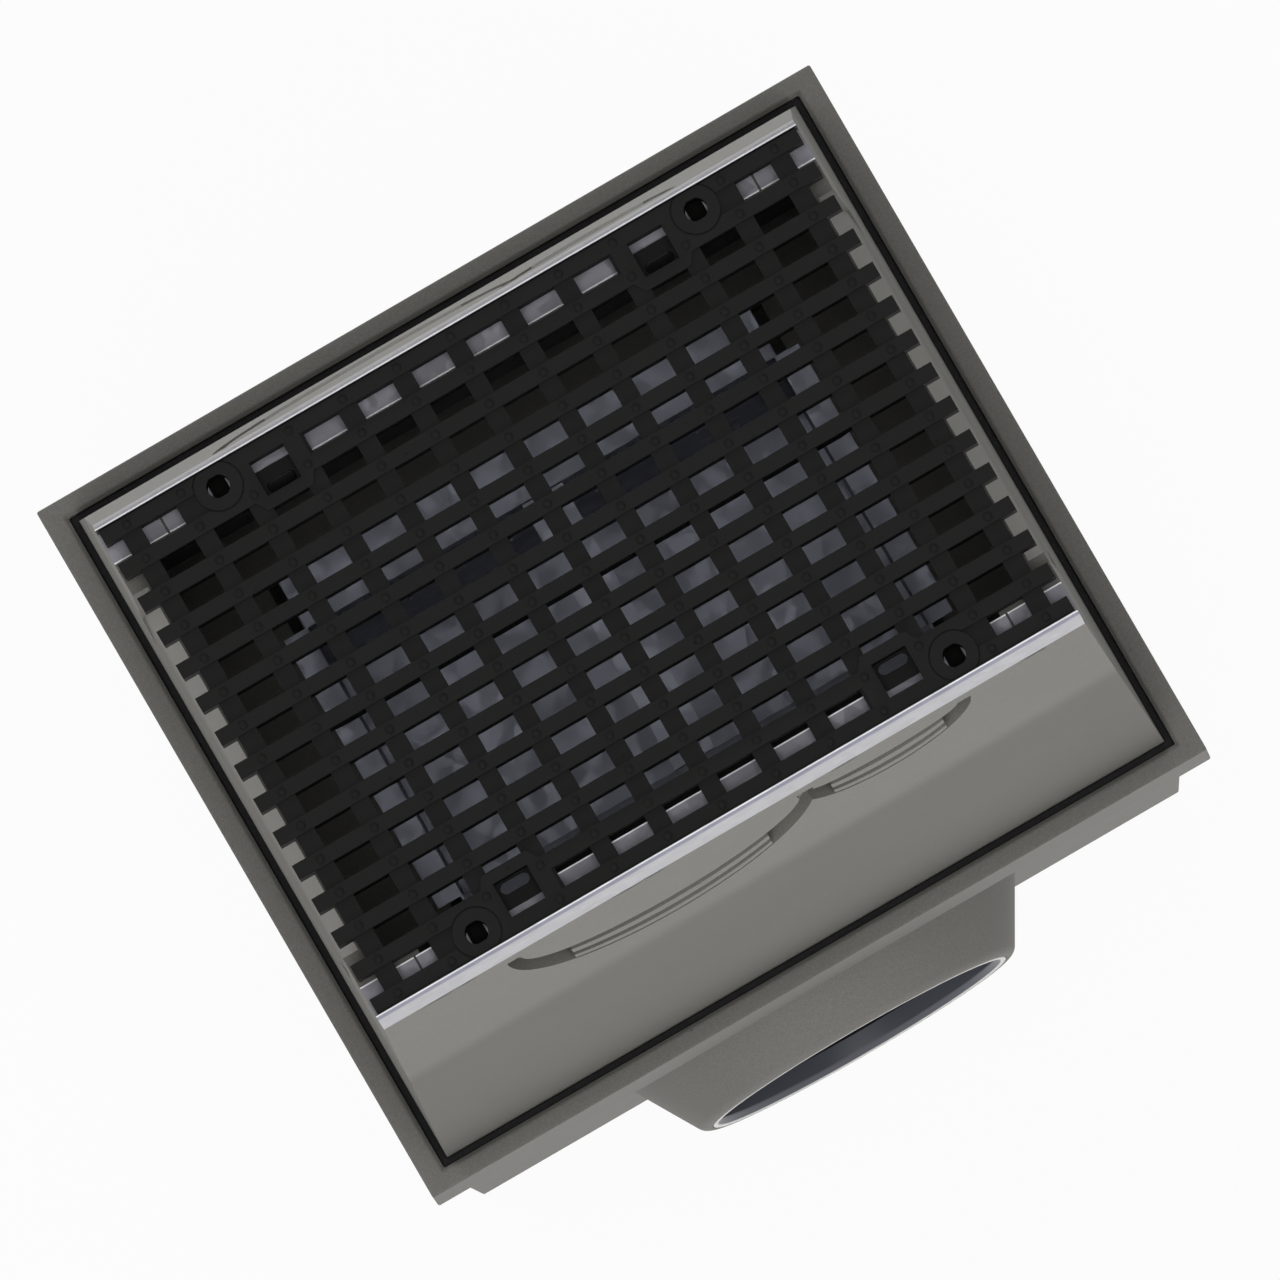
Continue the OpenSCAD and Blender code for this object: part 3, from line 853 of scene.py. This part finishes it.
class BASIN_OT_lower_part(BasinOperator):
    """Gives the lower part its cast concrete"""

    bl_idname = "basin.lower_part"
    bl_label = "Lower part"

    def execute(self, context):
        look = context.scene.basin_concrete
        stone = concrete_material("lower concrete", look.lower_colour, look.grain_size)
        dress("lower_basin", stone)
        soften("lower_basin", look.edge_round)
        return {"FINISHED"}


class BASIN_OT_upper_part(BasinOperator):
    """Gives the upper part its cast concrete"""

    bl_idname = "basin.upper_part"
    bl_label = "Upper part"

    def execute(self, context):
        look = context.scene.basin_concrete
        stone = concrete_material("upper concrete", look.upper_colour, look.grain_size, upper=True)
        dress("upper_basin", stone)
        soften("upper_basin", 0.5 * look.edge_round)
        return {"FINISHED"}


class BASIN_OT_seals(BasinOperator):
    """Gives the joint seal and the lip seal their rubber"""

    bl_idname = "basin.seals"
    bl_label = "Seals"

    def execute(self, context):
        rubber = rubber_material()
        for name in ("joint_seal", "outlet_seal"):
            dress(name, rubber)
            soften(name, SEAL_ROUND)
        return {"FINISHED"}


class BASIN_OT_outlet(BasinOperator):
    """Gives the outlet socket its grey plastic"""

    bl_idname = "basin.outlet"
    bl_label = "Outlet socket"

    def execute(self, context):
        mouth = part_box("outlet_socket")[0][1]
        dress("outlet_socket", plastic_material(mouth))
        soften("outlet_socket", SOCKET_ROUND)
        return {"FINISHED"}


class BASIN_OT_rails(BasinOperator):
    """Gives the two edge rails their zinc"""

    bl_idname = "basin.rails"
    bl_label = "Edge rails"

    def execute(self, context):
        look = context.scene.basin_steel
        seat_in = -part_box("front_rail")[1][1]
        colour, spangle = look.rail_colour, look.spangle_size
        zinc = zinc_material("rail zinc", colour, spangle, RAIL_ROUGHNESS, seat_in)
        for name in ("front_rail", "back_rail"):
            dress(name, zinc)
            soften(name, RAIL_ROUND)
        return {"FINISHED"}


class BASIN_OT_grate(BasinOperator):
    """Gives the grate its dipped iron and its anti-slip studs"""

    bl_idname = "basin.grate"
    bl_label = "Grate"

    def execute(self, context):
        look = context.scene.basin_grate
        iron = iron_material("dipped iron", look.colour)
        dress("grate", iron)
        lower_face("grate", WALKING_FACE, look.stud_height)
        soften("grate", GRATE_ROUND)
        studs = stud_mesh("grate_studs", look.stud_diameter, look.stud_height)
        new_piece("grate_studs", studs, iron)
        return {"FINISHED"}


class BASIN_OT_bucket(BasinOperator):
    """Gives the silt bucket and its strap their zinc"""

    bl_idname = "basin.bucket"
    bl_label = "Silt bucket"

    def execute(self, context):
        look = context.scene.basin_steel
        colour, spangle = look.bucket_colour, look.spangle_size
        zinc = zinc_material("bucket zinc", colour, spangle, BUCKET_ROUGHNESS)
        for name in ("silt_bucket", "bucket_strap"):
            dress(name, zinc)
            soften(name, SHEET_ROUND)
        return {"FINISHED"}


# Stage: floor, light and camera


def seen_directly(tree, x, y):
    """1 where a ray comes from the camera, a reflection or a clear material."""
    rays = node(tree, "ShaderNodeLightPath", x, y).outputs
    shiny = maths(tree, "ADD", rays["Is Camera Ray"], rays["Is Glossy Ray"], x + 200, y)
    return maths(tree, "ADD", shiny, rays["Is Transmission Ray"], x + 400, y, clamp=True)


def mix_by_ray(tree, share, indirect, direct, output, x):
    """Shows one shader to indirect light and another by a share, through a Mix Shader."""
    both = node(tree, "ShaderNodeMixShader", x)
    link(tree, share, both.inputs[0])
    link(tree, indirect.outputs[0], both.inputs[1])
    link(tree, direct.outputs[0], both.inputs[2])
    link(tree, both.outputs[0], output.inputs["Surface"])


def build_floor():
    """A pale floor under the part, white to the camera and grey to the light it sends back."""
    reach = FLOOR_REACH
    corners = [(-reach, -reach, 0), (reach, -reach, 0), (reach, reach, 0), (-reach, reach, 0)]
    mesh = bpy.data.meshes.new("floor")
    mesh.from_pydata(corners, [], [(0, 1, 2, 3)])
    floor = bpy.data.objects.new("floor", mesh)
    bpy.context.scene.collection.objects.link(floor)
    floor.location.z = -FLOOR_DROP
    material = bpy.data.materials.new("studio floor")
    material.use_nodes = True
    tree = material.node_tree
    tree.nodes.clear()
    output = node(tree, "ShaderNodeOutputMaterial", 600)
    matt = node(tree, "ShaderNodeBsdfDiffuse", 0, 100)
    matt.inputs["Color"].default_value = (FLOOR_GREY, FLOOR_GREY, FLOOR_GREY, 1)
    white = node(tree, "ShaderNodeEmission", 0, -100)
    share = maths(tree, "MULTIPLY", seen_directly(tree, -800, 300), FLOOR_WHITE, -100, 300)
    mix_by_ray(tree, share, matt, white, output, 300)
    mesh.materials.append(material)


def dome_level(tree, stage, across, along, up):
    """Strength of the dome in one direction: bright at the horizon, most in front and behind."""
    low = maths(tree, "SUBTRACT", 1.0, up, -1000, 0, clamp=True)
    fall = maths(tree, "POWER", low, HORIZON_FALL, -850, 0)
    across_2 = maths(tree, "MULTIPLY", across, across, -1000, -200)
    along_2 = maths(tree, "MULTIPLY", along, along, -1000, -350)
    level_2 = maths(tree, "ADD", across_2, along_2, -850, -200)
    facing = maths(tree, "DIVIDE", along_2, level_2, -700, -200)
    narrow = maths(tree, "POWER", facing, FRONT_FALL, -620, -200)
    side = stage.side_share
    ends = maths(tree, "MULTIPLY_ADD", narrow, 1 - side, -550, -200, third=side)
    left = maths(tree, "MULTIPLY_ADD", across, -stage.left_gain, -550, -350, third=1)
    swing = maths(tree, "MULTIPLY", ends, left, -400, -200)
    horizon = maths(tree, "MULTIPLY", swing, stage.horizon_level, -250, -200)
    zenith = stage.zenith_level
    rise = maths(tree, "SUBTRACT", horizon, zenith, -100, -200)
    return maths(tree, "MULTIPLY_ADD", fall, rise, 50, 0, third=zenith)


def build_light(stage):
    """A dome and one soft lamp above.

    Camera, gloss and glass see a backdrop in place of the dome: white at the horizon, and
    down to the ceiling's level overhead.
    """
    world = bpy.data.worlds.new("studio")
    bpy.context.scene.world = world
    world.use_nodes = True
    tree = world.node_tree
    tree.nodes.clear()
    output = node(tree, "ShaderNodeOutputWorld", 600)
    across, along, up = coordinates(tree, "Generated", -1400, 0)
    dome = node(tree, "ShaderNodeBackground", 200, 100)
    link(tree, dome_level(tree, stage, across, along, up), dome.inputs["Strength"])
    backdrop = node(tree, "ShaderNodeBackground", 200, -100)
    backdrop.inputs["Color"].default_value = (1, 1, 1, 1)
    shade = step(tree, up, CEILING_START, 1, 0, -400, 1, stage.ceiling_level)
    link(tree, shade, backdrop.inputs["Strength"])
    mix_by_ray(tree, seen_directly(tree, -600, 400), dome, backdrop, output, 400)
    lamp = bpy.data.lights.new("overhead", "SUN")
    lamp.energy = stage.lamp_level * math.pi
    lamp.angle = LAMP_SPREAD
    holder = bpy.data.objects.new("overhead", lamp)
    bpy.context.scene.collection.objects.link(holder)
    holder.location = LAMP_PLACE
    holder.rotation_euler = (math.pi / 2 - stage.elevation, 0, 0)


def build_camera(stage):
    """A camera at the photograph's angle, roll, scale and centre, from very far away."""
    data = bpy.data.cameras.new("camera")
    data.sensor_width = SENSOR_WIDTH
    data.lens = stage.lens
    camera = bpy.data.objects.new("camera", data)
    bpy.context.scene.collection.objects.link(camera)
    rise = stage.elevation
    forward = Vector((0, math.cos(rise), -math.sin(rise)))
    level_up = Vector((0, math.sin(rise), math.cos(rise)))
    level_right = Vector((1, 0, 0))
    cosine, sine = math.cos(stage.roll), math.sin(stage.roll)
    right = cosine * level_right - sine * level_up
    up = sine * level_right + cosine * level_up
    target = Vector((0, 0, RIM_HEIGHT)) + CENTRE_RIGHT * level_right - CENTRE_DOWN * level_up
    width = PHOTO_SIZE / PHOTO_SCALE * WIDENING * MM
    distance = width * data.lens / data.sensor_width
    turn = Matrix((right, up, -forward)).transposed()
    camera.matrix_world = Matrix.Translation(target - forward * distance) @ turn.to_4x4()
    data.clip_start = CLIP_START
    data.clip_end = 2 * distance
    bpy.context.scene.camera = camera


class BASIN_OT_stage(BasinOperator):
    """Builds the floor, the light and the camera"""

    bl_idname = "basin.stage"
    bl_label = "Stage"

    def execute(self, context):
        stage = context.scene.basin_stage
        build_floor()
        build_light(stage)
        build_camera(stage)
        context.scene.view_settings.view_transform = "Standard"
        return {"FINISHED"}


# The add-on


OPERATORS = [
    BASIN_OT_stage,
    BASIN_OT_lower_part,
    BASIN_OT_seals,
    BASIN_OT_outlet,
    BASIN_OT_upper_part,
    BASIN_OT_rails,
    BASIN_OT_grate,
    BASIN_OT_bucket,
]


class BASIN_PT_panel(bpy.types.Panel):
    """Sizes, colours and buttons of the catch basin"""

    bl_idname = "BASIN_PT_panel"
    bl_label = "Catch basin"
    bl_space_type = "VIEW_3D"
    bl_region_type = "UI"
    bl_category = "Basin"

    def draw(self, context):
        for name, kind in SETTINGS.items():
            box = self.layout.box()
            group = getattr(context.scene, name)
            for field in kind.__annotations__:
                box.prop(group, field)
        for operator in OPERATORS:
            self.layout.operator(operator.bl_idname)


CLASSES = [*SETTINGS.values(), *OPERATORS, BASIN_PT_panel]


def register():
    for kind in CLASSES:
        bpy.utils.register_class(kind)
    for name, kind in SETTINGS.items():
        setattr(bpy.types.Scene, name, bpy.props.PointerProperty(type=kind))


def unregister():
    for name in SETTINGS:
        delattr(bpy.types.Scene, name)
    for kind in reversed(CLASSES):
        bpy.utils.unregister_class(kind)


def main():
    register()
    build_groups()
    for operator in OPERATORS:
        group, name = operator.bl_idname.split(".")
        result = getattr(getattr(bpy.ops, group), name)()
        if result != {"FINISHED"}:
            raise RuntimeError(f"{operator.bl_idname} did not finish")


if __name__ == "__main__":
    main()
